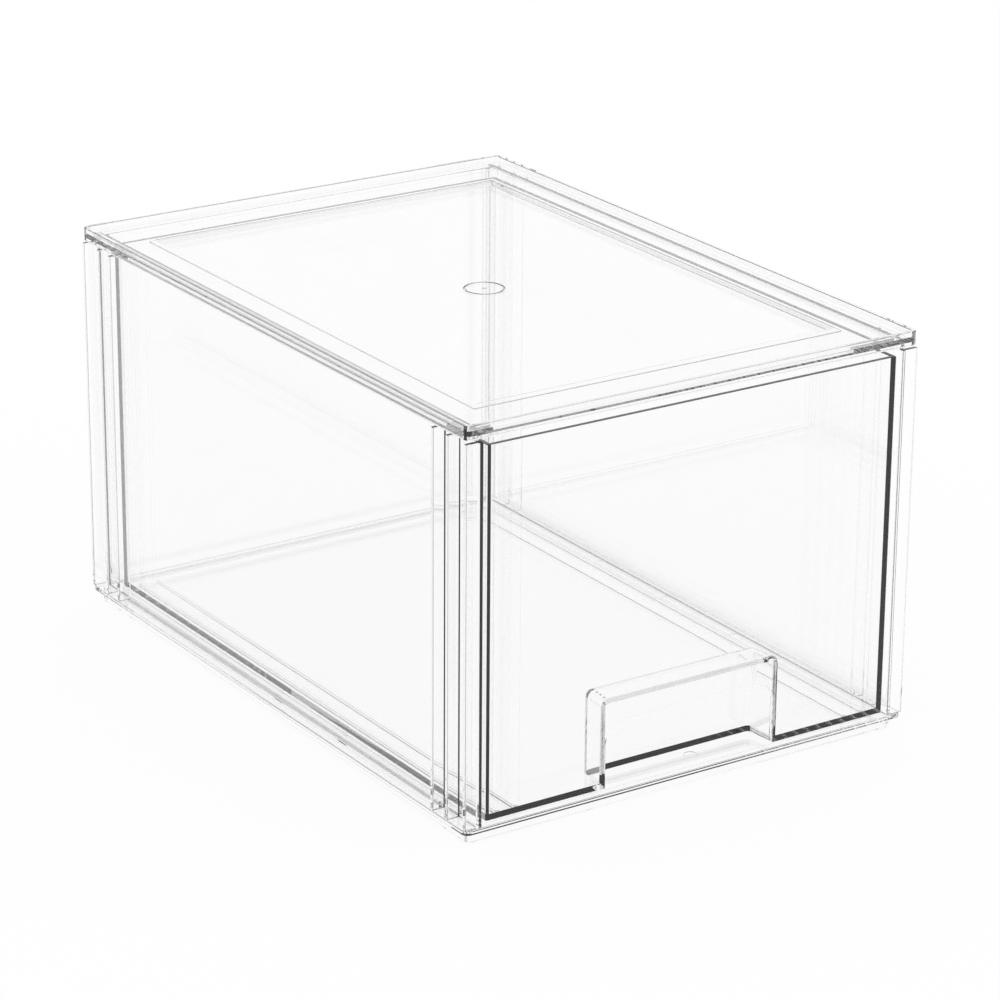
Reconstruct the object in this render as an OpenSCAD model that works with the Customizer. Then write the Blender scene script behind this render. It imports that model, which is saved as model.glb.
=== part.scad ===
// Stackable drawer box in clear moulded plastic.
// Five snap-together panels form the case and a one-piece drawer slides out of its open front.
// Frame: origin at the centre of the foot's underside, +Z up, the drawer opens towards -Y.

/* [Case] */
// Outside width of the case
case_w = 220; // [150:1:320]
// Outside depth of the case, front to back
case_d = 312; // [220:1:420]
// Height of the case, from the underside of the base plate to the top of the rim
case_h = 172; // [90:1:260]
// Thickness of the moulded panels
panel_t = 2.2; // [1.6:0.1:3]
// Corner radius of the base and top panels, seen from above
corner_r = 3; // [1:0.5:6]
// Gap left between two panels that plug together
fit_gap = 0.15; // [0.05:0.05:0.3]

/* [Side panels] */
// How far the side sheet is set in from the outer face
sheet_inset = 5.7; // [4.6:0.1:8]
// Thickness of the comb ribs of the corner posts
rib_t = 2.2; // [1.2:0.1:3]
// Distance from the end of the panel to the middle rib of a post
mid_rib_at = 13; // [9:0.5:16]
// Distance from the end of the panel to the inner rib of a post
inner_rib_at = 23.6; // [22:0.2:34]
// Air between the post tops and the edge of the top panel
post_top_gap = 1.3; // [0.4:0.1:3]

/* [Top panel] */
// Height of the panel's outer edge
rim_h = 6; // [5:0.5:12]
// Thickness of the raised rim
rim_t = 2.3; // [1.6:0.1:4]
// Depth of the seat inside the rim, where the next box stands
rim_depth = 2.6; // [1:0.1:5]
// How far the middle of the panel is stepped down below the seat
step_drop = 2.6; // [1:0.1:4]
// Width of the seat beside the step, at the sides
seat_side_w = 22; // [14:1:40]
// Width of the seat beside the step, at the front and back
seat_end_w = 27.7; // [14:0.1:50]
// Corner radius of the step
step_r = 2; // [0.5:0.5:8]
// Diameter of the gate ring in the middle of the panel
gate_d = 18; // [8:1:30]
// Relief of the gate ring
gate_relief = 0.4; // [0.2:0.1:0.8]

/* [Base panel] */
// Height of the foot below the base plate
foot_h = 4.8; // [3:0.2:8]
// Thickness of the foot's wall
foot_t = 2.2; // [1.4:0.1:4]
// Side gap between the foot and the rim of the box below
foot_gap = 0.5; // [0.2:0.1:1.5]
// Height of the ribs that hold the side sheets
keeper_h = 2.9; // [1.5:0.1:6]
// Thickness of the ribs that hold the side sheets
keeper_t = 1.8; // [1:0.1:2]
// Height of the post tongues above the base plate
tongue_h = 10.8; // [6:0.2:20]
// Width of each runner rail under the drawer
rail_w = 2; // [1:0.1:4]
// Distance from the drawer's side to the first runner rail
rail_inset = 8; // [5:0.5:20]
// Distance between the two runner rails of a side
rail_pitch = 9; // [5:0.5:14]
// Diameter of the ejector pin marks
pin_mark_d = 6; // [3:0.5:6]
// Depth of the ejector pin marks
pin_mark_depth = 0.3; // [0.1:0.1:0.6]

/* [Back panel] */
// How far the back panel is set in from the outer face
back_inset = 2; // [1:0.1:6]
// Gap above the back panel
back_top_gap = 2.6; // [0.3:0.1:6]
// Reach of the ribs that hold the back panel
slot_reach = 3; // [1.5:0.1:6]
// Thickness of the ribs that hold the back panel
slot_rib_t = 1.6; // [1:0.1:2]

/* [Drawer] */
// Gap between the drawer and each side sheet
drawer_side_gap = 2.4; // [2.2:0.1:6]
// Gap between the drawer's floor and the base plate
drawer_lift = 1.9; // [1.2:0.1:4]
// Clearance between the drawer's floor and its rails
rail_gap = 0.3; // [0.2:0.1:0.6]
// Gap between the drawer and the underside of the top panel
drawer_top_gap = 2.1; // [0.5:0.1:6]
// How far the drawer's front is set back from the case's front
front_inset = 0.8; // [0:0.1:4]
// Gap between the closed drawer and the back panel
drawer_back_gap = 8.3; // [1:0.1:20]
// Thickness of the drawer's walls
drawer_t = 2.2; // [1.6:0.1:3.5]
// Thickness of the drawer's floor
floor_t = 2.2; // [1.6:0.1:3.5]
// Radius inside the drawer, at the floor and the upright corners
tray_r = 5; // [2:0.5:10]
// Radius of the drawer's outer upright edges
drawer_edge_r = 0.8; // [0.3:0.1:2]

/* [Finger pull] */
// Outside width of the pull pocket, where it meets the drawer's front
pull_w = 89.2; // [60:0.2:120]
// Height of the pocket above the underside of the drawer
pull_h = 39; // [26:0.5:60]
// Depth of the pocket behind the drawer's front face
pull_d = 17.2; // [12:0.1:30]
// Thickness of the pocket's walls
pull_t = 2.4; // [1.6:0.1:3.5]
// How much the pocket narrows on each side towards its back
pull_draft = 1.3; // [0:0.1:3]
// Radius of the pocket's outer edges
pull_r = 4; // [3.6:0.2:6]
// Height of the lip that hangs down in front of the fingers
lip_h = 11.4; // [6:0.2:16]
// Radius of the corners of the finger opening
arch_r = 9; // [3:0.5:12]

/* [Hidden] */
$fn = 96;
cut = 1;

plate_top_z = foot_h + panel_t;
top_z = foot_h + case_h;
seat_z = top_z - rim_depth;
seat_under_z = seat_z - panel_t;
middle_z = seat_z - step_drop;
middle_under_z = middle_z - panel_t;
skirt_z = top_z - rim_h;
post_top_z = skirt_z - post_top_gap;

sheet_x = case_w / 2 - sheet_inset;
sheet_in_x = sheet_x - panel_t;
front_y = -case_d / 2;
back_y = case_d / 2;
back_out_y = back_y - back_inset;
back_in_y = back_out_y - panel_t;

foot_inset = rim_t + foot_gap;
tongue_y = mid_rib_at + rib_t + fit_gap;
tongue_d = inner_rib_at - mid_rib_at - rib_t - 2 * fit_gap;
tongue_out_x = case_w / 2 - fit_gap;
tongue_in_x = sheet_x + fit_gap;
tongue_w = tongue_out_x - tongue_in_x;

drawer_w = 2 * (sheet_in_x - drawer_side_gap);
drawer_front_y = front_y + front_inset;
drawer_back_y = back_in_y - drawer_back_gap;
drawer_d = drawer_back_y - drawer_front_y;
drawer_z = plate_top_z + drawer_lift;
drawer_top_z = middle_under_z - drawer_top_gap;
drawer_h = drawer_top_z - drawer_z;
rail_h = drawer_lift - rail_gap;

pocket_in_w = pull_w - 2 * pull_t;
pocket_in_h = pull_h - pull_t;
arch_h = pocket_in_h + pull_t - lip_h;
gate_ring_t = 1;
front_mark_x = 10;

// A rectangle centred on the origin with round corners
module rounded_plan(w, d, r) {
    square([w - 2 * r, d], center = true);
    square([w, d - 2 * r], center = true);
    for (sx = [-1, 1], sy = [-1, 1])
        translate([sx * (w / 2 - r), sy * (d / 2 - r)]) circle(r);
}

// A rounded plate from z0 up to z1
module rounded_block(w, d, r, z0, z1) {
    translate([0, 0, z0]) linear_extrude(z1 - z0) rounded_plan(w, d, r);
}

// A closed wall that follows a rounded rectangle
module rounded_wall(w, d, r, t, z0, z1) {
    translate([0, 0, z0]) linear_extrude(z1 - z0) difference() {
        rounded_plan(w, d, r);
        rounded_plan(w - 2 * t, d - 2 * t, max(r - t, 0.5));
    }
}

// Repeats its children at the four corner posts, mirrored to suit
module at_posts() {
    for (mx = [0, 1], my = [0, 1])
        mirror([mx, 0, 0]) mirror([0, my, 0]) children();
}

// A post tongue: a flat tab with a round end, run along the post's channel
module tongue(z0, z1) {
    r = tongue_w / 2;
    translate([tongue_in_x, front_y + tongue_y + tongue_d, 0]) rotate([90, 0, 0])
        linear_extrude(tongue_d) {
            translate([0, z0]) square([tongue_w, z1 - z0 - r]);
            translate([r, z1 - r]) circle(r);
        }
}

// The same tongue hanging down from the top panel
module hanging_tongue(z0, z1) {
    r = tongue_w / 2;
    translate([tongue_in_x, front_y + tongue_y + tongue_d, 0]) rotate([90, 0, 0])
        linear_extrude(tongue_d) {
            translate([0, z0 + r]) square([tongue_w, z1 - z0 - r]);
            translate([r, z0 + r]) circle(r);
        }
}

// Ribs on both sides of each side sheet, standing on the base plate between the posts
module sheet_keepers() {
    keeper_d = case_d - 2 * (inner_rib_at + rib_t + fit_gap);
    for (s = [-1, 1]) {
        translate([s * (sheet_x + fit_gap + keeper_t / 2), 0, plate_top_z + keeper_h / 2])
            cube([keeper_t, keeper_d, keeper_h], center = true);
        translate([s * (sheet_in_x - fit_gap - keeper_t / 2), 0, plate_top_z + keeper_h / 2])
            cube([keeper_t, case_d - 2 * (mid_rib_at + rib_t), keeper_h], center = true);
    }
}

// A rib in front of the back panel, across the base plate
module back_keeper() {
    keeper_w = drawer_w - 2 * tray_r;
    translate([-keeper_w / 2, back_in_y - fit_gap - keeper_t, plate_top_z])
        cube([keeper_w, keeper_t, keeper_h]);
}

// Two low runner rails on each side, under the drawer's floor
module runner_rails() {
    rail_len = drawer_d - 2 * tray_r;
    for (s = [-1, 1], i = [0, 1])
        translate([s * (drawer_w / 2 - rail_inset - i * rail_pitch),
                   (drawer_front_y + drawer_back_y) / 2, plate_top_z + rail_h / 2])
            cube([rail_w, rail_len, rail_h], center = true);
}

// Shallow round marks left by the ejector pins in the plate's underside, inside the foot
module pin_marks() {
    mark_inset = foot_inset + foot_t + pin_mark_d;
    mark_x = case_w / 2 - mark_inset;
    mark_y = front_y + mark_inset + pin_mark_d / 2;
    mark_z = foot_h - cut;
    for (s = [-1, 1], y = [-case_d / 6, 0, case_d / 6])
        translate([s * mark_x, y, mark_z]) cylinder(d = pin_mark_d, h = cut + pin_mark_depth);
    translate([front_mark_x, mark_y, mark_z]) cylinder(d = pin_mark_d, h = cut + pin_mark_depth);
}

module base_panel() {
    color("whitesmoke", 0.5) {
        difference() {
            rounded_block(case_w, case_d, corner_r, foot_h, plate_top_z);
            pin_marks();
        }
        rounded_wall(case_w - 2 * foot_inset, case_d - 2 * foot_inset, corner_r, foot_t, 0, foot_h);
        sheet_keepers();
        back_keeper();
        runner_rails();
        at_posts() tongue(plate_top_z, plate_top_z + tongue_h);
    }
}

// The right-hand side panel: a sheet with a three-rib comb at each end
module side_panel() {
    sheet_h = seat_under_z - plate_top_z;
    sheet_top_d = case_d - 2 * (rim_t + fit_gap);
    translate([sheet_in_x, front_y, plate_top_z]) cube([panel_t, case_d, post_top_z - plate_top_z]);
    translate([sheet_in_x, -sheet_top_d / 2, plate_top_z]) cube([panel_t, sheet_top_d, sheet_h]);
    for (my = [0, 1]) mirror([0, my, 0])
        for (at = [0, mid_rib_at, inner_rib_at])
            translate([sheet_x, front_y + at, plate_top_z])
                cube([sheet_inset, rib_t, post_top_z - plate_top_z]);
    slot_z = drawer_z;
    for (y = [back_out_y + fit_gap, back_in_y - fit_gap - slot_rib_t])
        translate([sheet_in_x - slot_reach, y, slot_z])
            cube([slot_reach, min(slot_rib_t, back_y - y), middle_under_z - slot_z]);
}

module right_panel() {
    color("whitesmoke", 0.4) side_panel();
}

module left_panel() {
    color("whitesmoke", 0.4) mirror([1, 0, 0]) side_panel();
}

module back_panel() {
    panel_w = 2 * (sheet_in_x - fit_gap);
    panel_top_z = seat_under_z - back_top_gap;
    color("whitesmoke", 0.4)
        translate([-panel_w / 2, back_in_y, plate_top_z]) cube([panel_w, panel_t, panel_top_z - plate_top_z]);
}

module top_panel() {
    step_w = case_w - 2 * seat_side_w;
    step_d = case_d - 2 * seat_end_w;
    color("whitesmoke", 0.5) {
        rounded_wall(case_w, case_d, corner_r, rim_t, skirt_z, top_z);
        difference() {
            rounded_block(case_w - rim_t, case_d - rim_t, corner_r, seat_under_z, seat_z);
            rounded_block(step_w, step_d, step_r, seat_under_z - cut, seat_z + cut);
        }
        rounded_wall(step_w + 2 * panel_t, step_d + 2 * panel_t, step_r + panel_t, panel_t,
                     middle_under_z, seat_z);
        difference() {
            rounded_block(step_w, step_d, step_r, middle_under_z, middle_z);
            translate([0, 0, middle_z - gate_relief]) difference() {
                cylinder(d = gate_d, h = cut);
                translate([0, 0, -cut]) cylinder(d = gate_d - 2 * gate_ring_t, h = 3 * cut);
            }
        }
        at_posts() hanging_tongue(post_top_z - tongue_h, seat_under_z);
    }
}

// Space inside the drawer, with a round foot all the way along its walls
module tray_space(w, d, h, r) {
    x = w / 2 - r;
    y = d / 2 - r;
    translate([0, 0, r]) linear_extrude(h) rounded_plan(w, d, r);
    translate([0, 0, r / 2 + r / 2]) cube([2 * x, 2 * y, 2 * r], center = true);
    for (s = [-1, 1]) {
        translate([s * x, 0, r]) rotate([90, 0, 0]) cylinder(r = r, h = 2 * y, center = true);
        translate([0, s * y, r]) rotate([0, 90, 0]) cylinder(r = r, h = 2 * x, center = true);
    }
    for (sx = [-1, 1], sy = [-1, 1]) translate([sx * x, sy * y, r]) sphere(r);
}

// Front view of the pocket: square at the bottom, round at its top corners
module pocket_front(w, h, r) {
    translate([-w / 2, 0]) square([w, h - r]);
    translate([-w / 2 + r, 0]) square([w - 2 * r, h]);
    for (s = [-1, 1]) translate([s * (w / 2 - r), h - r]) circle(r);
}

// Plan of the pocket: it narrows a little towards its round back corners
module pocket_plan(w, d, r) {
    back_w = w - 2 * pull_draft;
    polygon([[-w / 2, 0], [w / 2, 0], [back_w / 2, d - r], [-back_w / 2, d - r]]);
    translate([-back_w / 2 + r, 0]) square([back_w - 2 * r, d]);
    for (s = [-1, 1]) translate([s * (back_w / 2 - r), d - r]) circle(r);
}

// A pocket form that starts at the drawer's front face and rises from its underside
module pocket_form(w, h, d, r, y0, z0) {
    translate([0, drawer_front_y, drawer_z]) intersection() {
        translate([0, d, z0]) rotate([90, 0, 0]) linear_extrude(d - y0) pocket_front(w, h - z0, r);
        translate([0, 0, z0]) linear_extrude(h - z0) pocket_plan(w, d, r);
    }
}

// The finger opening: an arch through the drawer's front wall
module arch_cut() {
    translate([0, drawer_front_y + drawer_t + cut / 2, drawer_z - cut]) rotate([90, 0, 0])
        linear_extrude(drawer_t + cut * 1.5) pocket_front(pocket_in_w, arch_h + cut, arch_r);
}

module drawer() {
    color("whitesmoke", 0.45) difference() {
        union() {
            difference() {
                translate([0, (drawer_front_y + drawer_back_y) / 2, 0])
                    rounded_block(drawer_w, drawer_d, drawer_edge_r, drawer_z, drawer_top_z);
                translate([0, (drawer_front_y + drawer_back_y) / 2, drawer_z + floor_t])
                    tray_space(drawer_w - 2 * drawer_t, drawer_d - 2 * drawer_t, drawer_h, tray_r);
            }
            pocket_form(pull_w, pull_h, pull_d, pull_r, 0, 0);
        }
        pocket_form(pocket_in_w, pocket_in_h, pull_d - pull_t, pull_r - pull_t, drawer_t, -cut);
        arch_cut();
    }
}

base_panel();
left_panel();
right_panel();
back_panel();
top_panel();
drawer();
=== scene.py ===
"""Visual model of a clear stackable drawer box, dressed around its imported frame."""

import logging
import math
from dataclasses import astuple, dataclass
from enum import Enum

import bmesh
import bpy
from mathutils import Euler, Matrix, Vector


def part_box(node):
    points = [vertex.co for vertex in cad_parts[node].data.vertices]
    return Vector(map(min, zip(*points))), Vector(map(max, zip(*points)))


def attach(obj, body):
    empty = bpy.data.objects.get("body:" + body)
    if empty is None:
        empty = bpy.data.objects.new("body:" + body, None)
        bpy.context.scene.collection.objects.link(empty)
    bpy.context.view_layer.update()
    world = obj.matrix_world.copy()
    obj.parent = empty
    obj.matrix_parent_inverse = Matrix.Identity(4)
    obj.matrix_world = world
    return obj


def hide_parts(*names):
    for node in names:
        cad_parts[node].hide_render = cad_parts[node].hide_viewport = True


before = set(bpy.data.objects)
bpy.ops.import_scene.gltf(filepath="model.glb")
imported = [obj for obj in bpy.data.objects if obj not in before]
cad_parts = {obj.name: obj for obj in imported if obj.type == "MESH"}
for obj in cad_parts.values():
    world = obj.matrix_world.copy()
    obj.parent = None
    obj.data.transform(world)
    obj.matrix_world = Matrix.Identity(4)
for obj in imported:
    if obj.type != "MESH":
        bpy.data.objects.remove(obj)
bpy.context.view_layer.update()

LOG = logging.getLogger("drawer_box")

MM = 0.001
QUARTER = math.pi / 2
# Points closer together than this become one.
WELD = 1e-6
# Edges that turn less than this are shaded smooth.
EDGE_ANGLE = math.radians(30)
# How much rounder upright edges are than the edges of the end faces.
PLAN_SHARE = 1.15
# How far inside its outline a panel's flat middle begins.
MIDDLE_BAND = 10 * MM
# The tightest corner that a moulded skin gets in plan.
LEAST_CORNER = 0.5 * MM
# How many straight pieces stand for each kind of round.
EDGE_STEPS = 3
SECTION_STEPS = 4
CORNER_STEPS = 8
ARCH_STEPS = 12
GROOVE_STEPS = 16
DISC_STEPS = 40
RING_STEPS = 64
WHITE = (1.0, 1.0, 1.0, 1.0)

Colour = tuple[float, float, float]
Point = tuple[float, float]
Point3 = tuple[float, float, float]
Nodes = bpy.types.Nodes
Socket = bpy.types.NodeSocket


class Body(Enum):
    """The two rigid bodies of the frame."""

    CASE = "case"
    TRAY = "tray"


class Slot(Enum):
    """The material slots of the record."""

    CASE = "case_plastic"
    DRAWER = "drawer_plastic"


class Side(Enum):
    """The two hands of the side panel."""

    LEFT = "left_panel"
    RIGHT = "right_panel"


# ---------------------------------------------------------------- node groups


class EffectGroup:
    """A shader node group with named sockets, built once and placed in each material."""

    def __init__(self, name: str) -> None:
        """Makes the empty group.

        Args:
            name: the group's name in the file.
        """
        self.tree = bpy.data.node_groups.new(name, "ShaderNodeTree")
        self.source = self.tree.nodes.new("NodeGroupInput")
        self.result = self.tree.nodes.new("NodeGroupOutput")

    def takes(self, name: str, value: float) -> None:
        """Adds a number that each material sets for itself.

        Args:
            name: the socket's name.
            value: its value where a material sets nothing.
        """
        socket = self.tree.interface.new_socket(name, in_out="INPUT", socket_type="NodeSocketFloat")
        socket.default_value = value

    def gives(self, name: str, kind: str = "NodeSocketFloat") -> None:
        """Adds a named output.

        Args:
            name: the socket's name.
            kind: the socket's type.
        """
        self.tree.interface.new_socket(name, in_out="OUTPUT", socket_type=kind)

    def add(self, kind: str, **settings: object) -> bpy.types.Node:
        """Adds a node to the group.

        Args:
            kind: the node's type.
            settings: properties to set on it.

        Returns:
            The new node.
        """
        return placed(self.tree.nodes, kind, **settings)

    def join(self, start: Socket, end: Socket) -> None:
        """Links two sockets."""
        self.tree.links.new(start, end)

    def math(self, operation: str, first: Socket, second: Socket | float) -> Socket:
        """Works out one sum on two values.

        Args:
            operation: the Math node's operation.
            first: the first value.
            second: the second value, a socket or a plain number.

        Returns:
            The socket that holds the answer.
        """
        node = self.add("ShaderNodeMath", operation=operation)
        self.join(first, node.inputs[0])
        if isinstance(second, float):
            node.inputs[1].default_value = second
        else:
            self.join(second, node.inputs[1])
        return node.outputs[0]

    def scaled(self, value: Socket, by: str) -> Socket:
        """Multiplies a value by one of the group's inputs."""
        return self.math("MULTIPLY", value, self.source.outputs[by])

    def noise(self, place: Socket, size: str, detail: float) -> Socket:
        """Adds a noise pattern.

        Args:
            place: where the pattern is looked up.
            size: the group's input that holds its scale.
            detail: how many finer layers it has.

        Returns:
            The socket that holds its value.
        """
        pattern = self.add("ShaderNodeTexNoise")
        pattern.inputs["Detail"].default_value = detail
        self.join(place, pattern.inputs["Vector"])
        self.join(self.source.outputs[size], pattern.inputs["Scale"])
        return pattern.outputs["Fac"]

    def stretched(self, place: Socket, scale: Point3, turn: Point3 = (0.0, 0.0, 0.0)) -> Socket:
        """Turns and stretches the place where a pattern is looked up.

        Args:
            place: the place.
            scale: the factor along each axis.
            turn: the turn about each axis, in radians.

        Returns:
            The socket that holds the new place.
        """
        mapping = self.add("ShaderNodeMapping")
        mapping.inputs["Rotation"].default_value = turn
        mapping.inputs["Scale"].default_value = scale
        self.join(place, mapping.inputs["Vector"])
        return mapping.outputs["Vector"]

    def window(self, value: Socket, low: float, high: float) -> Socket:
        """Makes a mask that rises from 0 to 1 while a value goes from low to high.

        Args:
            value: the value.
            low: where the mask leaves 0.
            high: where it reaches 1.

        Returns:
            The socket that holds the mask.
        """
        ramp = self.add("ShaderNodeMapRange")
        ramp.inputs["From Min"].default_value = low
        ramp.inputs["From Max"].default_value = high
        self.join(value, ramp.inputs["Value"])
        return ramp.outputs[0]


def placed(nodes: Nodes, kind: str, **settings: object) -> bpy.types.Node:
    """Adds a node and sets its properties.

    Args:
        nodes: the tree's nodes.
        kind: the node's type.
        settings: properties to set on it.

    Returns:
        The new node.
    """
    node = nodes.new(kind)
    for name, value in settings.items():
        setattr(node, name, value)
    return node


def set_inputs(node: bpy.types.Node, values: dict[str, object]) -> None:
    """Sets a node's sockets to plain values.

    Args:
        node: the node.
        values: the value of each socket, by the socket's name.
    """
    for name, value in values.items():
        node.inputs[name].default_value = value


def moulding_ripple_group() -> bpy.types.NodeTree:
    """Builds the slow unevenness of a moulded sheet and the fine drag lines of its flow.

    Returns:
        The group, whose Height feeds a Bump node.
    """
    wave_detail, flow_detail, flow_stretch = 1.0, 2.0, (1.0, 0.12, 0.25)
    group = EffectGroup("moulding_ripple")
    group.takes("Wave Size", 18.0)
    group.takes("Wave Depth", 1.0)
    group.takes("Flow Size", 90.0)
    group.takes("Flow Depth", 0.12)
    group.gives("Height")
    where = group.add("ShaderNodeTexCoord").outputs["Object"]
    wave = group.noise(where, "Wave Size", wave_detail)
    flow = group.noise(group.stretched(where, flow_stretch), "Flow Size", flow_detail)
    height = group.math("ADD", group.scaled(wave, "Wave Depth"), group.scaled(flow, "Flow Depth"))
    group.join(height, group.result.inputs["Height"])
    return group.tree


def handling_marks_group() -> bpy.types.NodeTree:
    """Builds the faint smears and hairline rubs that handling leaves on polished plastic.

    Returns:
        The group, whose Roughness feeds a Principled shader.
    """
    smear_detail, smear_window = 4.0, (0.56, 0.78)
    rub_detail, rub_window = 2.0, (0.7, 0.8)
    rub_turn, rub_stretch = (0.5, 0.3, 0.9), (1.0, 0.03, 0.03)
    group = EffectGroup("handling_marks")
    group.takes("Polish", 0.0)
    group.takes("Smear", 0.03)
    group.takes("Smear Size", 9.0)
    group.takes("Rub", 0.02)
    group.takes("Rub Size", 160.0)
    group.gives("Roughness")
    where = group.add("ShaderNodeTexCoord").outputs["Object"]
    patches = group.window(group.noise(where, "Smear Size", smear_detail), *smear_window)
    streaks = group.noise(group.stretched(where, rub_stretch, rub_turn), "Rub Size", rub_detail)
    hairs = group.window(streaks, *rub_window)
    marks = group.math("ADD", group.scaled(patches, "Smear"), group.scaled(hairs, "Rub"))
    roughness = group.math("ADD", marks, group.source.outputs["Polish"])
    group.join(roughness, group.result.inputs["Roughness"])
    return group.tree


class Effects:
    """The node groups that the finishes share, each built once."""

    def __init__(self) -> None:
        """Builds both groups."""
        self.ripple = moulding_ripple_group()
        self.marks = handling_marks_group()


# ------------------------------------------------------------------- finishes


@dataclass(frozen=True)
class ClearStyrene:
    """Clear, polished moulded plastic.

    Its body takes off a little light over a long way through it, which darkens what is seen
    end-on and leaves the thin sheets clear.
    """

    name: str
    tint: Colour = (1.0, 1.0, 1.0)
    ior: float = 1.57
    body_colour: Colour = (0.60, 0.61, 0.61)
    body_density: float = 8.0
    lamp_colour: Colour = (0.99, 0.99, 0.99)
    wave_size: float = 14.0
    wave_depth: float = 1.0
    flow_size: float = 90.0
    flow_depth: float = 0.1
    bump_height: float = 0.00002
    smear: float = 0.02
    smear_size: float = 9.0
    rub: float = 0.015

    def material(self, effects: Effects) -> bpy.types.Material:
        """Makes the material.

        Args:
            effects: the shared node groups.

        Returns:
            The finished material.
        """
        made = bpy.data.materials.new(self.name)
        made.use_nodes = True
        tree = made.node_tree
        nodes, links = tree.nodes, tree.links
        nodes.clear()
        out = nodes.new("ShaderNodeOutputMaterial")
        plastic = nodes.new("ShaderNodeBsdfPrincipled")
        set_inputs(plastic, {"Base Color": (*self.tint, 1.0), "Metallic": 0.0, "IOR": self.ior,
                             "Transmission Weight": 1.0})
        marks = placed(nodes, "ShaderNodeGroup", node_tree=effects.marks)
        set_inputs(marks, {"Smear": self.smear, "Smear Size": self.smear_size, "Rub": self.rub})
        links.new(marks.outputs["Roughness"], plastic.inputs["Roughness"])
        ripple = placed(nodes, "ShaderNodeGroup", node_tree=effects.ripple)
        set_inputs(ripple, {"Wave Size": self.wave_size, "Wave Depth": self.wave_depth,
                            "Flow Size": self.flow_size, "Flow Depth": self.flow_depth})
        bump = nodes.new("ShaderNodeBump")
        set_inputs(bump, {"Strength": 1.0, "Distance": self.bump_height})
        links.new(ripple.outputs["Height"], bump.inputs["Height"])
        links.new(bump.outputs["Normal"], plastic.inputs["Normal"])
        path = nodes.new("ShaderNodeLightPath")
        clear = nodes.new("ShaderNodeBsdfTransparent")
        clear.inputs["Color"].default_value = (*self.lamp_colour, 1.0)
        mix = nodes.new("ShaderNodeMixShader")
        links.new(path.outputs["Is Shadow Ray"], mix.inputs[0])
        links.new(plastic.outputs[0], mix.inputs[1])
        links.new(clear.outputs[0], mix.inputs[2])
        links.new(mix.outputs[0], out.inputs["Surface"])
        depth = nodes.new("ShaderNodeVolumeAbsorption")
        set_inputs(depth, {"Color": (*self.body_colour, 1.0), "Density": self.body_density})
        links.new(depth.outputs[0], out.inputs["Volume"])
        return made


# ------------------------------------------------------------ closed forms


def solid_from(name: str, loops: list[list[Vector]]) -> bpy.types.Object:
    """Skins a row of loops with faces and closes both ends.

    Args:
        name: the object's name.
        loops: loops with equally many points, in order along the skin.

    Returns:
        The closed object.
    """
    form = bmesh.new()
    rings = [[form.verts.new(point) for point in loop] for loop in loops]
    for ring, above in zip(rings, rings[1:]):
        for i, vert in enumerate(ring):
            j = (i + 1) % len(ring)
            form.faces.new((vert, ring[j], above[j], above[i]))
    form.faces.new(list(reversed(rings[0])))
    form.faces.new(rings[-1])
    bmesh.ops.remove_doubles(form, verts=form.verts, dist=WELD)
    bmesh.ops.recalc_face_normals(form, faces=form.faces)
    return object_from(name, form)


def object_from(name: str, form: bmesh.types.BMesh) -> bpy.types.Object:
    """Turns a finished mesh form into an object of the scene.

    Args:
        name: the object's name.
        form: the mesh form, which is freed.

    Returns:
        The object.
    """
    mesh = bpy.data.meshes.new(name)
    form.to_mesh(mesh)
    form.free()
    made = bpy.data.objects.new(name, mesh)
    bpy.context.scene.collection.objects.link(made)
    return made


def arc(centre: Point, radius: float, start: float, sweep: float, steps: int) -> list[Point]:
    """Points along a circular arc.

    Args:
        centre: the arc's centre.
        radius: its radius.
        start: the angle it starts at, in quarter turns.
        sweep: how far it turns, in quarter turns.
        steps: how many straight pieces it has.

    Returns:
        The points, with both ends.
    """
    turns = [QUARTER * (start + sweep * k / steps) for k in range(steps + 1)]
    return [(centre[0] + radius * math.cos(t), centre[1] + radius * math.sin(t)) for t in turns]


def quarter_round(radius: float, steps: int) -> list[Point]:
    """The distances from a quarter round to the two sides of the corner that it eases.

    Args:
        radius: its radius.
        steps: how many straight pieces it has.

    Returns:
        Pairs of distances, from (radius, 0) to (0, radius).
    """
    turns = [QUARTER * k / steps for k in range(steps + 1)]
    return [(radius * (1 - math.sin(t)), radius * (1 - math.cos(t))) for t in turns]


def rounded_outline(points: list[Point], radius: float) -> list[Point]:
    """Rounds the outward corners of a flat outline and leaves its inward corners sharp.

    Args:
        points: the corners, anticlockwise.
        radius: the radius of the outward corners.

    Returns:
        The outline's points.
    """
    outline: list[Point] = []
    for i, here in enumerate(points):
        corner = Vector(here)
        before = (corner - Vector(points[i - 1])).normalized()
        after = (Vector(points[(i + 1) % len(points)]) - corner).normalized()
        if before.x * after.y - before.y * after.x <= 0:
            outline.append(here)
            continue
        centre = corner + (after - before) * radius
        start = math.atan2(-after.y, -after.x) / QUARTER
        outline += arc((centre.x, centre.y), radius, start, 1.0, EDGE_STEPS)
    return outline


def inset_outline(points: list[Point], distance: float) -> list[Point]:
    """Moves a flat outline inwards by one distance all round.

    Args:
        points: the outline, anticlockwise.
        distance: how far it moves.

    Returns:
        The new outline.
    """
    moved = []
    for i, here in enumerate(points):
        before = (Vector(here) - Vector(points[i - 1])).normalized()
        after = (Vector(points[(i + 1) % len(points)]) - Vector(here)).normalized()
        first, second = Vector((-before.y, before.x)), Vector((-after.y, after.x))
        place = Vector(here) + (first + second) * distance / (1 + first.dot(second))
        moved.append((place.x, place.y))
    return moved


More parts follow.
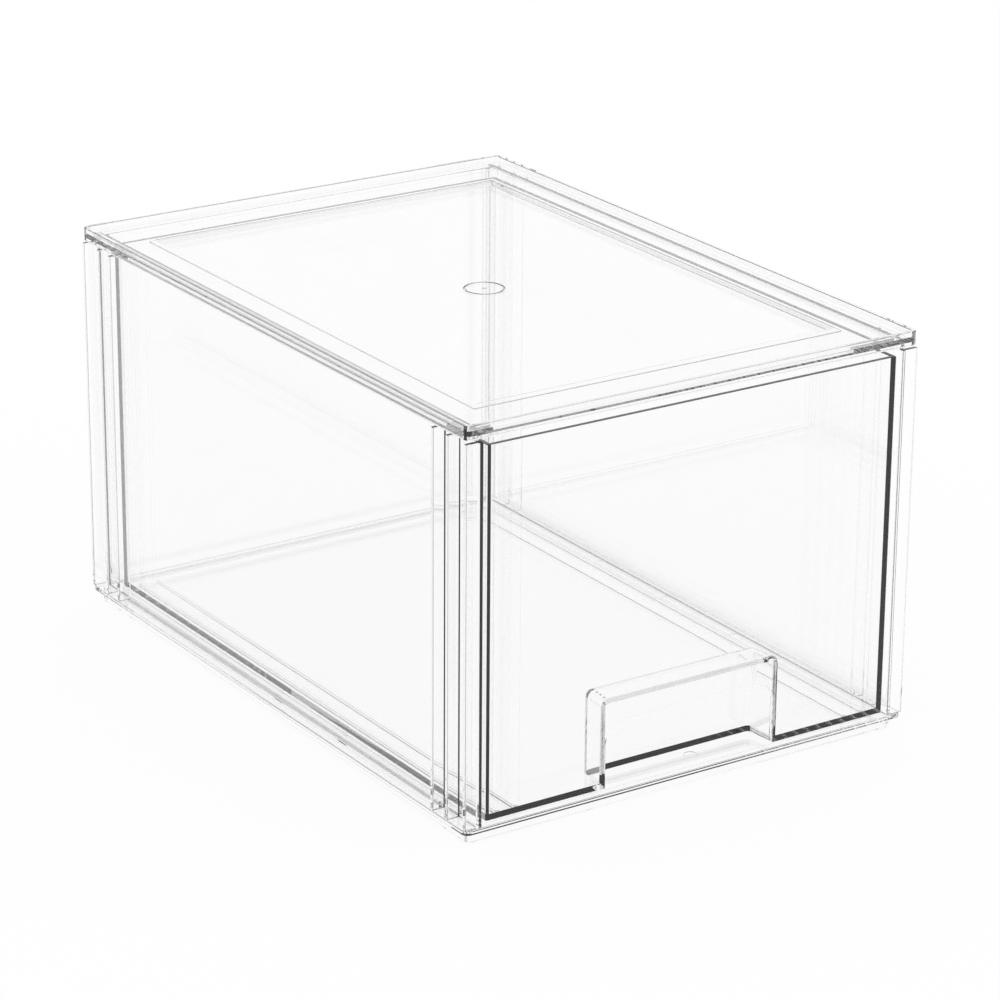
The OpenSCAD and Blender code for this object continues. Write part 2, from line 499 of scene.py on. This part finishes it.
class Along(Enum):
    """The axis that a prism runs along."""

    Y = "y"
    Z = "z"

    def point(self, flat: Point, height: float) -> Vector:
        """Turns a point of the outline and a height into a point in space.

        Args:
            flat: the point of the outline.
            height: the place along the axis.

        Returns:
            The point.
        """
        if self is Along.Y:
            return Vector((flat[0], height, flat[1]))
        return Vector((flat[0], flat[1], height))


def eased_prism(outline: list[Point], along: Along, low: float, high: float,
                ease: float) -> bpy.types.Object:
    """Makes a prism whose end faces have round edges.

    Args:
        outline: its outline, anticlockwise, with the outward corners already round.
        along: the axis it runs along.
        low: where it starts.
        high: where it ends.
        ease: the radius of the edges of its end faces.

    Returns:
        The closed object.
    """
    rows = [(inset, low + rise) for inset, rise in quarter_round(ease, EDGE_STEPS)]
    rows += [(inset, high + low - height) for inset, height in reversed(rows)]
    loops = [[along.point(p, height) for p in inset_outline(outline, inset)]
             for inset, height in rows]
    return solid_from("prism", loops)


def rectangle(x0: float, y0: float, x1: float, y1: float) -> list[Point]:
    """The corners of an upright rectangle, anticlockwise."""
    return [(x0, y0), (x1, y0), (x1, y1), (x0, y1)]


def eased_bar(low: Point3, high: Point3, ease: float) -> bpy.types.Object:
    """Makes a bar with all its edges round.

    Args:
        low: its lowest corner.
        high: its highest corner.
        ease: the radius of its edges.

    Returns:
        The closed object.
    """
    outline = rounded_outline(rectangle(low[0], low[1], high[0], high[1]), ease * PLAN_SHARE)
    return eased_prism(outline, Along.Z, low[2], high[2], ease)


@dataclass(frozen=True)
class Station:
    """One corner of a moulded piece's section, which is swept round a rounded rectangle."""

    half_x: float
    half_y: float
    corner: float
    z: float
    ease: float = 0.0

    def blend(self, other: "Station", distance: float) -> "Station":
        """The place a given distance along the section towards another station.

        Args:
            other: the next or the last station.
            distance: how far along the section, at most just under half of the way.

        Returns:
            The new station, which has no easing.
        """
        just_under_half = 0.49
        way = math.hypot(other.half_x - self.half_x, other.z - self.z)
        share = min(distance / way, just_under_half)
        return Station(*[a + (b - a) * share for a, b in zip(self.sizes(), other.sizes())])

    def sizes(self) -> tuple[float, ...]:
        """The sizes and the height, without the easing."""
        return astuple(self)[:4]

    def loop(self, centre_y: float) -> list[Vector]:
        """The station's rounded rectangle.

        Args:
            centre_y: where its middle lies along Y.

        Returns:
            The loop's points, anticlockwise.
        """
        x, y = self.half_x - self.corner, self.half_y - self.corner
        flat: list[Point] = []
        for quarter, (sx, sy) in enumerate(((1, 1), (-1, 1), (-1, -1), (1, -1))):
            flat += arc((x * sx, y * sy), self.corner, quarter, 1.0, CORNER_STEPS)
        return [Vector((px, py + centre_y, self.z)) for px, py in flat]


def fillet(wall: Station, radius: float) -> list[Station]:
    """The stations of a hollow round foot where a wall runs into a floor below it.

    Args:
        wall: the wall's rounded rectangle, with z at the floor.
        radius: the radius of the fillet.

    Returns:
        The stations, from the wall to the floor.
    """
    path = []
    for up, inset in quarter_round(radius, SECTION_STEPS):
        corner = max(wall.corner - inset, 0.0)
        path.append(Station(wall.half_x - inset, wall.half_y - inset, corner, wall.z + up))
    return path


def swept_section(stations: list[Station], centre_y: float = 0.0) -> bpy.types.Object:
    """Sweeps a section round a rounded rectangle into a closed piece.

    Args:
        stations: the section's corners, from one flat middle to the other.
        centre_y: where its middle lies along Y.

    Returns:
        The closed object.
    """
    path = [stations[0]]
    for before, here, after in zip(stations, stations[1:], stations[2:]):
        if here.ease <= 0:
            path.append(here)
            continue
        start, end = here.blend(before, here.ease), here.blend(after, here.ease)
        for a, b in quarter_round(1.0, SECTION_STEPS):
            trio = zip(here.sizes(), start.sizes(), end.sizes())
            path.append(Station(*[h + (s - h) * a + (e - h) * b for h, s, e in trio]))
    path.append(stations[-1])
    return solid_from("section", [station.loop(centre_y) for station in path])


def spun_ring(section: list[Point]) -> bpy.types.Object:
    """Turns a closed section round the Z axis into a ring.

    Args:
        section: the section's points, as radius and height.

    Returns:
        The closed object.
    """
    form = bmesh.new()
    rings = []
    for k in range(RING_STEPS):
        turn = math.tau * k / RING_STEPS
        x, y = math.cos(turn), math.sin(turn)
        rings.append([form.verts.new((r * x, r * y, z)) for r, z in section])
    for k, ring in enumerate(rings):
        beyond = rings[(k + 1) % RING_STEPS]
        for i, vert in enumerate(ring):
            j = (i + 1) % len(ring)
            form.faces.new((vert, ring[j], beyond[j], beyond[i]))
    bmesh.ops.recalc_face_normals(form, faces=form.faces)
    return object_from("ring", form)


class Operation(Enum):
    """How one solid acts on another."""

    JOIN = "UNION"
    CUT = "DIFFERENCE"


def combine(base: bpy.types.Object, tools: list[bpy.types.Object], operation: Operation) -> None:
    """Joins solids to a base or cuts them from it, and removes them.

    Args:
        base: the solid that stays.
        tools: the solids that act on it, one after another.
        operation: what they do.
    """
    for tool in tools:
        step = base.modifiers.new("step", "BOOLEAN")
        step.operation = operation.value
        step.solver = "EXACT"
        step.object = tool
        graph = bpy.context.evaluated_depsgraph_get()
        base.data = bpy.data.meshes.new_from_object(base.evaluated_get(graph))
        base.modifiers.clear()
        bpy.data.objects.remove(tool)


def mirrored(solid: bpy.types.Object) -> bpy.types.Object:
    """Makes the left-hand form of a right-hand solid, and removes the right-hand one.

    Args:
        solid: the right-hand solid.

    Returns:
        The left-hand solid.
    """
    form = bmesh.new()
    form.from_mesh(solid.data)
    bmesh.ops.scale(form, vec=Vector((-1.0, 1.0, 1.0)), verts=form.verts)
    bmesh.ops.recalc_face_normals(form, faces=form.faces)
    bpy.data.objects.remove(solid)
    return object_from("mirrored", form)


# ------------------------------------------------------------ moulded pieces


@dataclass(frozen=True)
class Levels:
    """Heights that more than one piece of the case refers to."""

    plate_under: float = 4.8 * MM
    plate_top: float = 7.0 * MM
    post_top: float = 169.5 * MM
    middle_under: float = 169.4 * MM
    skirt: float = 170.8 * MM
    middle: float = 171.6 * MM
    seat_under: float = 172.0 * MM
    seat: float = 174.2 * MM
    top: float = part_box("top_panel")[1].z


LEVELS = Levels()


@dataclass(frozen=True)
class Posts:
    """Where the side sheets and the ribs of the corner posts stand."""

    case_x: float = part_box("base_panel")[1].x
    case_y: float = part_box("base_panel")[1].y
    sheet_out: float = 104.3 * MM
    sheet_in: float = 102.1 * MM
    rib: float = 2.2 * MM
    rib_places: tuple[float, ...] = (0.0, 13.0 * MM, 23.6 * MM)


POSTS = Posts()


@dataclass
class MouldedPiece:
    """One moulded piece of the box, closed, with the edges that its mould eases."""

    finish: ClearStyrene
    node: str = ""
    body: Body = Body.CASE
    slot: Slot = Slot.CASE
    ease: float = 0.35 * MM
    air: float = 0.03 * MM

    def form(self) -> bpy.types.Object:
        """Makes the closed form; each kind of piece has its own."""
        raise NotImplementedError

    def shade(self, piece: bpy.types.Object) -> None:
        """Shades the round edges smooth and keeps the sharp corners sharp.

        Args:
            piece: the piece.
        """
        form = bmesh.new()
        form.from_mesh(piece.data)
        bmesh.ops.remove_doubles(form, verts=form.verts, dist=WELD)
        bmesh.ops.dissolve_degenerate(form, edges=form.edges, dist=WELD)
        for face in form.faces:
            face.smooth = True
        for edge in form.edges:
            edge.smooth = edge.is_manifold and edge.calc_face_angle(0.0) < EDGE_ANGLE
        form.to_mesh(piece.data)
        form.free()
        level = piece.modifiers.new("flat_faces", "WEIGHTED_NORMAL")
        level.keep_sharp = True

    def build(self, material: bpy.types.Material) -> None:
        """Makes the piece, gives it its finish and puts it in place of its frame node.

        Args:
            material: the finish made into a material.
        """
        piece = self.form()
        piece.name = f"{self.node}_moulding"
        piece.data.name = piece.name
        self.shade(piece)
        piece.data.materials.clear()
        piece.data.materials.append(material)
        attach(piece, self.body.value)
        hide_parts(self.node)
        LOG.info("%s: %d faces", piece.name, len(piece.data.polygons))


@dataclass
class BasePanel(MouldedPiece):
    """The base plate on its foot, with keeper ribs, runner rails and pin marks."""

    node: str = "base_panel"
    corner: float = 3.0 * MM
    foot_inset: float = 2.8 * MM
    foot_wall: float = 2.2 * MM
    root: float = 1.0 * MM
    keeper_top: float = 9.9 * MM
    keeper_outer: tuple[float, float, float] = (104.45 * MM, 106.25 * MM, 130.05 * MM)
    keeper_inner: tuple[float, float, float] = (100.15 * MM, 101.95 * MM, 140.8 * MM)
    back_keeper: tuple[float, float, float] = (94.7 * MM, 149.85 * MM, 151.65 * MM)
    rail_places: tuple[float, float] = (91.7 * MM, 82.7 * MM)
    rail_width: float = 2.0 * MM
    rail_top: float = 8.6 * MM
    rail_ends: tuple[float, float] = (-150.2 * MM, 138.5 * MM)
    mark_radius: float = 3.0 * MM
    mark_depth: float = 0.3 * MM
    mark_ease: float = 0.1 * MM
    mark_x: float = 99.0 * MM
    mark_pitch: float = 52.0 * MM
    front_mark: Point = (10.0 * MM, -142.0 * MM)

    def plate(self) -> bpy.types.Object:
        """Sweeps the section of the plate and its foot into one skin.

        Returns:
            The plate, closed.
        """
        out_x, out_y, e = POSTS.case_x, POSTS.case_y, self.ease
        foot_x, foot_y = out_x - self.foot_inset, out_y - self.foot_inset
        in_x, in_y = foot_x - self.foot_wall, foot_y - self.foot_wall
        inner_corner = max(self.corner - self.foot_wall, LEAST_CORNER)
        under, top = LEVELS.plate_under, LEVELS.plate_top
        return swept_section([
            Station(in_x - MIDDLE_BAND, in_y - MIDDLE_BAND, inner_corner, under),
            Station(in_x, in_y, inner_corner, under),
            Station(in_x, in_y, inner_corner, 0.0, e),
            Station(foot_x, foot_y, self.corner, 0.0, e),
            Station(foot_x, foot_y, self.corner, under),
            Station(out_x, out_y, self.corner, under, e),
            Station(out_x, out_y, self.corner, top, e),
            Station(out_x - MIDDLE_BAND, out_y - MIDDLE_BAND, self.corner, top),
        ])

    def ribs(self) -> list[bpy.types.Object]:
        """Makes the keeper ribs and the runner rails, rooted in the plate.

        Returns:
            Four side keepers, the back keeper and four rails.
        """
        low = LEVELS.plate_top - self.root
        bars = []
        for x0, x1, y in (self.keeper_outer, self.keeper_inner):
            for left, right in ((x0, x1), (-x1, -x0)):
                bars.append(eased_bar((left, -y, low), (right, y, self.keeper_top), self.ease))
        half, y0, y1 = self.back_keeper
        bars.append(eased_bar((-half, y0, low), (half, y1, self.keeper_top), self.ease))
        width = self.rail_width / 2
        for x in (*self.rail_places, *(-place for place in self.rail_places)):
            bars.append(eased_bar((x - width, self.rail_ends[0], low),
                                  (x + width, self.rail_ends[1], self.rail_top), self.ease))
        return bars

    def marks(self) -> list[bpy.types.Object]:
        """Makes the shallow discs that the ejector pins leave in the plate's underside.

        Returns:
            The discs to cut: three on each side and one at the front.
        """
        places = [(x, y) for x in (self.mark_x, -self.mark_x)
                  for y in (-self.mark_pitch, 0.0, self.mark_pitch)]
        low, high = LEVELS.plate_under - MM, LEVELS.plate_under + self.mark_depth
        discs = []
        for place in (*places, self.front_mark):
            outline = arc(place, self.mark_radius, 0.0, 4.0, DISC_STEPS)[:-1]
            discs.append(eased_prism(outline, Along.Z, low, high, self.mark_ease))
        return discs

    def form(self) -> bpy.types.Object:
        """Joins the ribs to the plate and cuts the pin marks.

        Returns:
            The finished base panel.
        """
        plate = self.plate()
        combine(plate, self.ribs(), Operation.JOIN)
        combine(plate, self.marks(), Operation.CUT)
        return plate


@dataclass
class SidePanel(MouldedPiece):
    """A side sheet with a three-rib comb at each end and the slot that holds the back panel."""

    side: Side = Side.RIGHT
    top_inset: float = 2.45 * MM
    top_root: float = 10.0 * MM
    slot_reach: float = 3.0 * MM
    slot_root: float = 0.4 * MM
    slot_ribs: tuple[Point, ...] = ((150.05 * MM, 151.65 * MM), (154.15 * MM, 155.75 * MM))
    slot_low: float = 8.9 * MM

    def __post_init__(self) -> None:
        """Takes the node's name from the side."""
        self.node = self.side.value

    def comb(self) -> bpy.types.Object:
        """Makes the sheet and all its ribs as one upright prism.

        Returns:
            The right-hand prism, up to the top of the posts.
        """
        ends = [(y, y + POSTS.rib) for y in (place - POSTS.case_y for place in POSTS.rib_places)]
        ends += [(-high, -low) for low, high in reversed(ends)]
        outline = [(POSTS.sheet_in, POSTS.case_y), (POSTS.sheet_in, -POSTS.case_y)]
        for low, high in ends:
            if low > -POSTS.case_y:
                outline.append((POSTS.sheet_out, low))
            outline += [(POSTS.case_x, low), (POSTS.case_x, high)]
            if high < POSTS.case_y:
                outline.append((POSTS.sheet_out, high))
        outline = rounded_outline(outline, self.ease * PLAN_SHARE)
        low = LEVELS.plate_top + self.air
        return eased_prism(outline, Along.Z, low, LEVELS.post_top, self.ease)

    def form(self) -> bpy.types.Object:
        """Joins the comb, the sheet's upper edge and the slot ribs.

        Returns:
            The finished panel, of the hand that its side asks for.
        """
        panel = self.comb()
        half_y = POSTS.case_y - self.top_inset
        tools = [eased_bar((POSTS.sheet_in, -half_y, LEVELS.post_top - self.top_root),
                           (POSTS.sheet_out, half_y, LEVELS.seat_under - self.air), self.ease)]
        inner, outer = POSTS.sheet_in - self.slot_reach, POSTS.sheet_in + self.slot_root
        for low, high in self.slot_ribs:
            tools.append(eased_bar((inner, low, self.slot_low),
                                   (outer, high, LEVELS.middle_under), self.ease))
        combine(panel, tools, Operation.JOIN)
        return mirrored(panel) if self.side is Side.LEFT else panel


@dataclass
class BackPanel(MouldedPiece):
    """The plain sheet that closes the back."""

    node: str = "back_panel"

    def form(self) -> bpy.types.Object:
        """Makes the sheet a little short of the plate and the step."""
        low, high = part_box(self.node)
        return eased_bar((low.x, low.y, low.z + self.air),
                         (high.x, high.y, high.z - self.air), self.ease)


@dataclass
class TopPanel(MouldedPiece):
    """The top panel: rim, thick seat and stepped middle with its gate."""

    node: str = "top_panel"
    corner: float = 3.0 * MM
    rim: float = 2.3 * MM
    step: tuple[float, float] = (88.0 * MM, 128.3 * MM)
    step_corner: float = 0.4 * MM
    pad: tuple[float, float] = (101.8 * MM, 149.6 * MM)
    pad_corner: float = 0.5 * MM
    pad_lift: float = 0.6 * MM
    wall: float = 2.2 * MM
    gate_radius: float = 8.5 * MM
    groove: tuple[float, float] = (0.5 * MM, 0.4 * MM)
    nub: tuple[float, float] = (1.1 * MM, 0.35 * MM)
    nub_profile: tuple[Point, ...] = ((1.0, -1.0), (1.0, 0.0), (0.85, 0.7), (0.5, 1.0))
    nub_roundness: float = 0.999

    def shell(self) -> bpy.types.Object:
        """Sweeps the section of the rim, the seat and the step into one skin.

        The seat is thick between the sheets, and its underside lies a little above the middle's.

        Returns:
            The panel's skin, closed.
        """
        out_x, out_y, e = POSTS.case_x, POSTS.case_y, self.ease
        in_x, in_y = out_x - self.rim, out_y - self.rim
        in_corner, step_corner = max(self.corner - self.rim, LEAST_CORNER), self.step_corner
        step_x, step_y = self.step
        under_x, under_y = step_x + self.wall, step_y + self.wall
        pad_x, pad_y = self.pad
        middle, middle_under = LEVELS.middle, LEVELS.middle_under
        pad_under = middle_under + self.pad_lift
        return swept_section([
            Station(under_x - MIDDLE_BAND, under_y - MIDDLE_BAND, step_corner, middle_under),
            Station(under_x, under_y, step_corner, middle_under, e),
            Station(under_x, under_y, step_corner, pad_under),
            Station(pad_x, pad_y, self.pad_corner, pad_under, e),
            Station(pad_x, pad_y, self.pad_corner, LEVELS.seat_under),
            Station(in_x, in_y, in_corner, LEVELS.seat_under),
            Station(in_x, in_y, in_corner, LEVELS.skirt, e),
            Station(out_x, out_y, self.corner, LEVELS.skirt, e),
            Station(out_x, out_y, self.corner, LEVELS.top, e),
            Station(in_x, in_y, in_corner, LEVELS.top, e),
            Station(in_x, in_y, in_corner, LEVELS.seat),
            Station(step_x, step_y, step_corner, LEVELS.seat, e),
            Station(step_x, step_y, step_corner, middle),
            Station(step_x - MIDDLE_BAND, step_y - MIDDLE_BAND, step_corner, middle),
        ])

    def gate(self, shell: bpy.types.Object) -> None:
        """Cuts the gate's ring into the middle and leaves the nub of the gate inside it.

        Args:
            shell: the panel's skin.
        """
        half, depth = self.groove
        turns = [math.tau * k / GROOVE_STEPS for k in range(GROOVE_STEPS)]
        section = [(self.gate_radius + half * math.cos(t), LEVELS.middle + depth * math.sin(t))
                   for t in turns]
        combine(shell, [spun_ring(section)], Operation.CUT)
        width, height = self.nub
        round_nub = []
        for across, up in self.nub_profile:
            radius = width * across
            round_nub.append(Station(radius, radius, radius * self.nub_roundness,
                                     LEVELS.middle + height * up))
        combine(shell, [swept_section(round_nub)], Operation.JOIN)

    def form(self) -> bpy.types.Object:
        """Adds the gate to the panel's skin.

        Returns:
            The finished top panel.
        """
        shell = self.shell()
        self.gate(shell)
        return shell


@dataclass
class Drawer(MouldedPiece):
    """The drawer: a deep tray with nearly sharp inner corners and a one-piece finger pull."""

    node: str = "drawer"
    body: Body = Body.TRAY
    slot: Slot = Slot.DRAWER
    wall: float = 2.2 * MM
    floor: float = 2.2 * MM
    inner_radius: float = 0.3 * MM
    outer_corner: float = 0.8 * MM
    pull_half: float = 44.6 * MM
    pull_height: float = 39.0 * MM
    pull_depth: float = 17.2 * MM
    pull_wall: float = 2.4 * MM
    pull_draft: float = 1.3 * MM
    pull_radius: float = 4.0 * MM
    pull_root: float = 1.0 * MM
    arch_height: float = 27.6 * MM
    arch_radius: float = 9.0 * MM

    def tray(self) -> bpy.types.Object:
        """Sweeps the tray's section: floor, wall, rim and the round foot inside.

        Returns:
            The tray without its pull.
        """
        low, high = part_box(self.node)
        half_x, half_y = high.x, (high.y - low.y) / 2
        in_x, in_y = half_x - self.wall, half_y - self.wall
        inner_floor, e = low.z + self.floor, self.ease
        band = 2 * MIDDLE_BAND
        stations = [
            Station(half_x - MIDDLE_BAND, half_y - MIDDLE_BAND, self.outer_corner, low.z),
            Station(half_x, half_y, self.outer_corner, low.z, e),
            Station(half_x, half_y, self.outer_corner, high.z, e),
            Station(in_x, in_y, self.inner_radius, high.z, e),
            *fillet(Station(in_x, in_y, self.inner_radius, inner_floor), self.inner_radius),
            Station(in_x - band, in_y - band, 0.0, inner_floor),
        ]
        return swept_section(stations, (high.y + low.y) / 2)

    def pull_loop(self, grow: float, z: float, inner: bool) -> list[Vector]:
        """One level of the pocket: narrower at its back, with round back corners.

        Args:
            grow: how far the level reaches outside the pocket's own walls.
            z: its height.
            inner: whether it is the space inside the pocket or its outside.

        Returns:
            The level's points, anticlockwise.
        """
        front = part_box(self.node)[0].y
        thick = self.pull_wall if inner else 0.0
        start = front + (self.wall if inner else self.pull_root)
        radius = max(self.pull_radius - thick + grow, 0.0)
        half = self.pull_half - thick + grow
        back = front + self.pull_depth - thick + grow
        lean = self.pull_draft / (self.pull_depth - self.pull_radius)
        half_back = half - self.pull_draft
        half_start = half - lean * (start - front)
        turn_x, turn_y = half_back - radius, back - radius
        flat = [(half_start, start),
                *arc((turn_x, turn_y), radius, 0.0, 1.0, CORNER_STEPS),
                *arc((-turn_x, turn_y), radius, 1.0, 1.0, CORNER_STEPS),
                (-half_start, start)]
        return [Vector((x, y, z)) for x, y in flat]

    def pull_form(self, inner: bool) -> bpy.types.Object:
        """Makes the pocket's outside or the space inside it, with a round top.

        Args:
            inner: whether it is the space inside.

        Returns:
            The closed object.
        """
        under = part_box(self.node)[0].z
        thick = self.pull_wall if inner else 0.0
        radius = self.pull_radius - thick
        top = under + self.pull_height - thick
        rows = [(0.0, under + self.pull_root)]
        if inner:
            flare = quarter_round(self.ease, SECTION_STEPS)
            rows = [(self.ease, under - MM), *((grow, under + rise) for grow, rise in flare)]
        rows += [(-inset, top - drop) for drop, inset in quarter_round(radius, CORNER_STEPS)]
        return solid_from("pull", [self.pull_loop(grow, z, inner) for grow, z in rows])

    def arch(self) -> bpy.types.Object:
        """Makes the cutter of the finger opening, flared where it leaves the front face.

        Returns:
            The closed cutter.
        """
        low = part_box(self.node)[0]
        half = self.pull_half - self.pull_wall
        bottom, radius = low.z - MM, self.arch_radius
        turn_x, turn_z = half - radius, low.z + self.arch_height - radius
        outline = [(-half, bottom), (half, bottom),
                   *arc((turn_x, turn_z), radius, 0.0, 1.0, ARCH_STEPS),
                   *arc((-turn_x, turn_z), radius, 1.0, 1.0, ARCH_STEPS)]
        flare = quarter_round(self.ease, SECTION_STEPS)
        rows = [(self.ease, low.y - MM), *((grow, low.y + rise) for grow, rise in flare),
                (0.0, low.y + self.wall)]
        loops = [[Along.Y.point(p, y) for p in inset_outline(outline, -grow)] for grow, y in rows]
        return solid_from("arch", loops)

    def form(self) -> bpy.types.Object:
        """Joins the pocket to the tray, hollows it and opens the front.

        Returns:
            The finished drawer.
        """
        tray = self.tray()
        combine(tray, [self.pull_form(False)], Operation.JOIN)
        combine(tray, [self.pull_form(True), self.arch()], Operation.CUT)
        return tray


# --------------------------------------------------------------------- studio


@dataclass
class Studio:
    """A pale floor under a white, even sky."""

    floor_size: float = 12.0
    floor_shade: float = 0.94
    floor_glow: float = 0.96
    sky_strength: float = 1.0

    def white_for_view(self, nodes: Nodes, links: bpy.types.NodeLinks) -> Socket:
        """Adds up the rays that see the backdrop: direct, mirrored and through plastic.

        Args:
            nodes: the tree's nodes.
            links: the tree's links.

        Returns:
            A socket that is 1 for those rays and 0 for light that falls on things.
        """
        path = nodes.new("ShaderNodeLightPath")
        total = path.outputs["Is Camera Ray"]
        for name in ("Is Glossy Ray", "Is Transmission Ray"):
            either = placed(nodes, "ShaderNodeMath", operation="MAXIMUM")
            links.new(total, either.inputs[0])
            links.new(path.outputs[name], either.inputs[1])
            total = either.outputs[0]
        return total

    def floor(self) -> None:
        """Lays the floor, which keeps a soft shadow of the box."""
        form = bmesh.new()
        bmesh.ops.create_grid(form, x_segments=1, y_segments=1, size=self.floor_size / 2)
        floor = object_from("floor", form)
        made = bpy.data.materials.new("floor_paper")
        made.use_nodes = True
        nodes, links = made.node_tree.nodes, made.node_tree.links
        nodes.clear()
        out = nodes.new("ShaderNodeOutputMaterial")
        paper = nodes.new("ShaderNodeBsdfDiffuse")
        paper.inputs["Color"].default_value = (self.floor_shade,) * 3 + (1.0,)
        glow = nodes.new("ShaderNodeEmission")
        share = placed(nodes, "ShaderNodeMath", operation="MULTIPLY")
        share.inputs[1].default_value = self.floor_glow
        links.new(self.white_for_view(nodes, links), share.inputs[0])
        mix = nodes.new("ShaderNodeMixShader")
        links.new(share.outputs[0], mix.inputs[0])
        links.new(paper.outputs[0], mix.inputs[1])
        links.new(glow.outputs[0], mix.inputs[2])
        links.new(mix.outputs[0], out.inputs["Surface"])
        floor.data.materials.append(made)

    def sky(self) -> None:
        """Makes the world white and even."""
        world = bpy.data.worlds.new("studio")
        bpy.context.scene.world = world
        world.use_nodes = True
        back = world.node_tree.nodes["Background"]
        set_inputs(back, {"Color": WHITE, "Strength": self.sky_strength})

    def build(self) -> None:
        """Sets up the whole studio."""
        self.floor()
        self.sky()
        LOG.info("studio: floor and sky")


@dataclass
class PhotoCamera:
    """The camera that took the reference view, found by fitting the case's corners."""

    place: Point3 = (-0.8872, -1.3511, 0.6854)
    azimuth: float = -33.551
    elevation: float = 20.675
    roll: float = 0.411
    lens: float = 143.51
    sensor: float = 36.0
    nearest: float = 0.05
    farthest: float = 40.0

    def build(self) -> None:
        """Places the camera and makes it the scene's own."""
        data = bpy.data.cameras.new("photo_camera")
        data.lens = self.lens
        data.sensor_width = self.sensor
        data.clip_start = self.nearest
        data.clip_end = self.farthest
        camera = bpy.data.objects.new("photo_camera", data)
        bpy.context.scene.collection.objects.link(camera)
        aim = Euler((math.radians(90 - self.elevation), 0.0, math.radians(self.azimuth)), "XYZ")
        spin = Matrix.Rotation(math.radians(self.roll), 3, "Z")
        camera.matrix_world = Matrix.Translation(self.place) @ (aim.to_matrix() @ spin).to_4x4()
        bpy.context.scene.camera = camera
        LOG.info("camera: azimuth %.2f, elevation %.2f", self.azimuth, self.elevation)


@dataclass
class LightPaths:
    """How far light is followed: through every layer, and a little way along inside a sheet.

    Light that is guided along a sheet for longer stays dark, which draws the sheets' edges.
    """

    bounces: int = 32
    shadow_layers: int = 64

    def build(self) -> None:
        """Sets the path limits and the plain view transform."""
        scene = bpy.context.scene
        scene.view_settings.view_transform = "Standard"
        scene.cycles.max_bounces = self.bounces
        scene.cycles.transmission_bounces = self.bounces
        scene.cycles.glossy_bounces = self.bounces
        scene.cycles.transparent_max_bounces = self.shadow_layers
        scene.cycles.caustics_reflective = False
        scene.cycles.caustics_refractive = False


def main() -> None:
    """Builds the studio and every piece of the box."""
    logging.basicConfig(level=logging.INFO, format="%(name)s: %(message)s")
    LightPaths().build()
    PhotoCamera().build()
    Studio().build()
    effects = Effects()
    case_clear = ClearStyrene("case_clear")
    drawer_clear = ClearStyrene("drawer_clear")
    in_case, in_drawer = case_clear.material(effects), drawer_clear.material(effects)
    sides = (SidePanel(case_clear, side=side) for side in Side)
    for piece in (BasePanel(case_clear), *sides, BackPanel(case_clear), TopPanel(case_clear)):
        piece.build(in_case)
    Drawer(drawer_clear).build(in_drawer)


if __name__ == "__main__":
    main()
